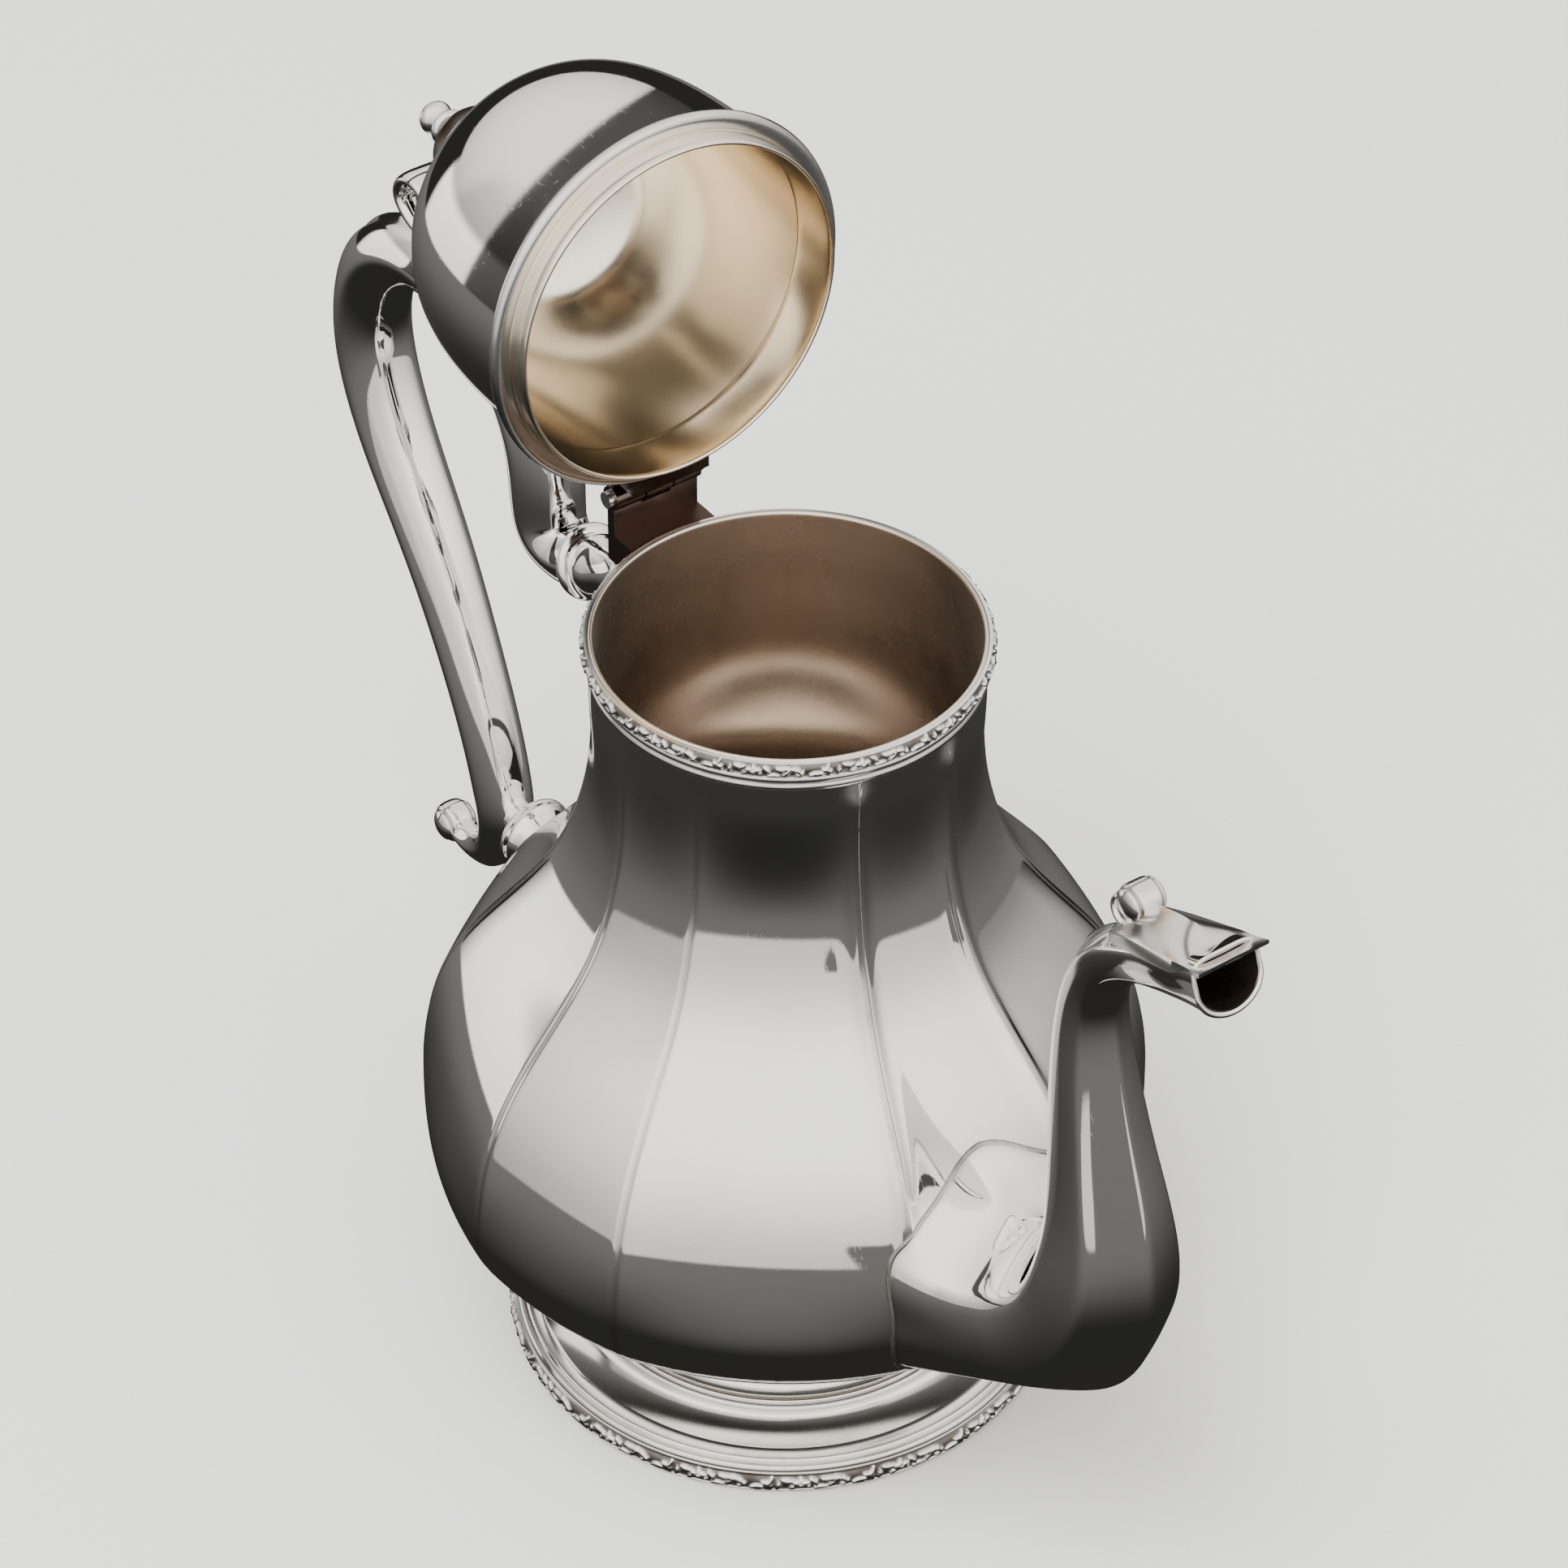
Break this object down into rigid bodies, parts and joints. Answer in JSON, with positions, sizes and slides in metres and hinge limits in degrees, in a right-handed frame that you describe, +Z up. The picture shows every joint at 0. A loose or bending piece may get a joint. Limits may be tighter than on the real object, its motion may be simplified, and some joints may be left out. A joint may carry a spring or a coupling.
{
  "type": "coffee pot",
  "caption": "Panelled pear-shaped silver coffee pot with a hinged domed lid, swan-neck spout, hollow scroll handle and ornamented foot and rim.",
  "frame": {"origin": "centre of the foot's resting ring, on the surface that the pot stands on", "axes": "+X towards the spout, -X towards the handle, +Z up along the body's axis, +Y across, along the hinge pin"},
  "size_m": [0.2821, 0.1452, 0.2625],
  "materials": {
    "silver_body": "polished silver plate",
    "silver_inside": "satin, warm stained silver plate",
    "silver_ornament": "polished, tarnish in the recesses",
    "silver_dark": "dark brown tarnish"
  },
  "bodies": {
    "pot": {"body_shell": "silver_body", "strainer": "silver_inside", "body_bottom": "silver_inside", "foot": "silver_body", "foot_border": "silver_ornament", "rim_border": "silver_ornament", "neck_reeds": "silver_ornament", "spout_left": "silver_body", "spout_right": "silver_body", "spout_hood": "silver_body", "spout_scroll": "silver_body", "beak_rim": "silver_body", "upper_socket": "silver_body", "upper_ferrule": "silver_body", "lower_socket": "silver_body", "lower_ferrule": "silver_body", "handle_left": "silver_body", "handle_right": "silver_body", "thumb_scroll": "silver_body", "handle_volute": "silver_body", "hinge_bracket": "silver_dark", "hinge_pin": "silver_ornament"},
    "lid": {"lid_leaf": "silver_dark", "lid_dome": "silver_body", "lid_lip": "silver_ornament", "lid_bezel": "silver_inside", "finial_base": "silver_dark", "finial_knob": "silver_ornament", "finial_stud": "silver_dark"}
  },
  "joints": [
    {"name": "lid_hinge", "type": "hinge", "parent": "pot", "child": "lid", "pos_m": [-0.0439, 0, 0.1805], "axis": [0, 1, 0], "range_deg": [0, 91.4]}
  ]
}
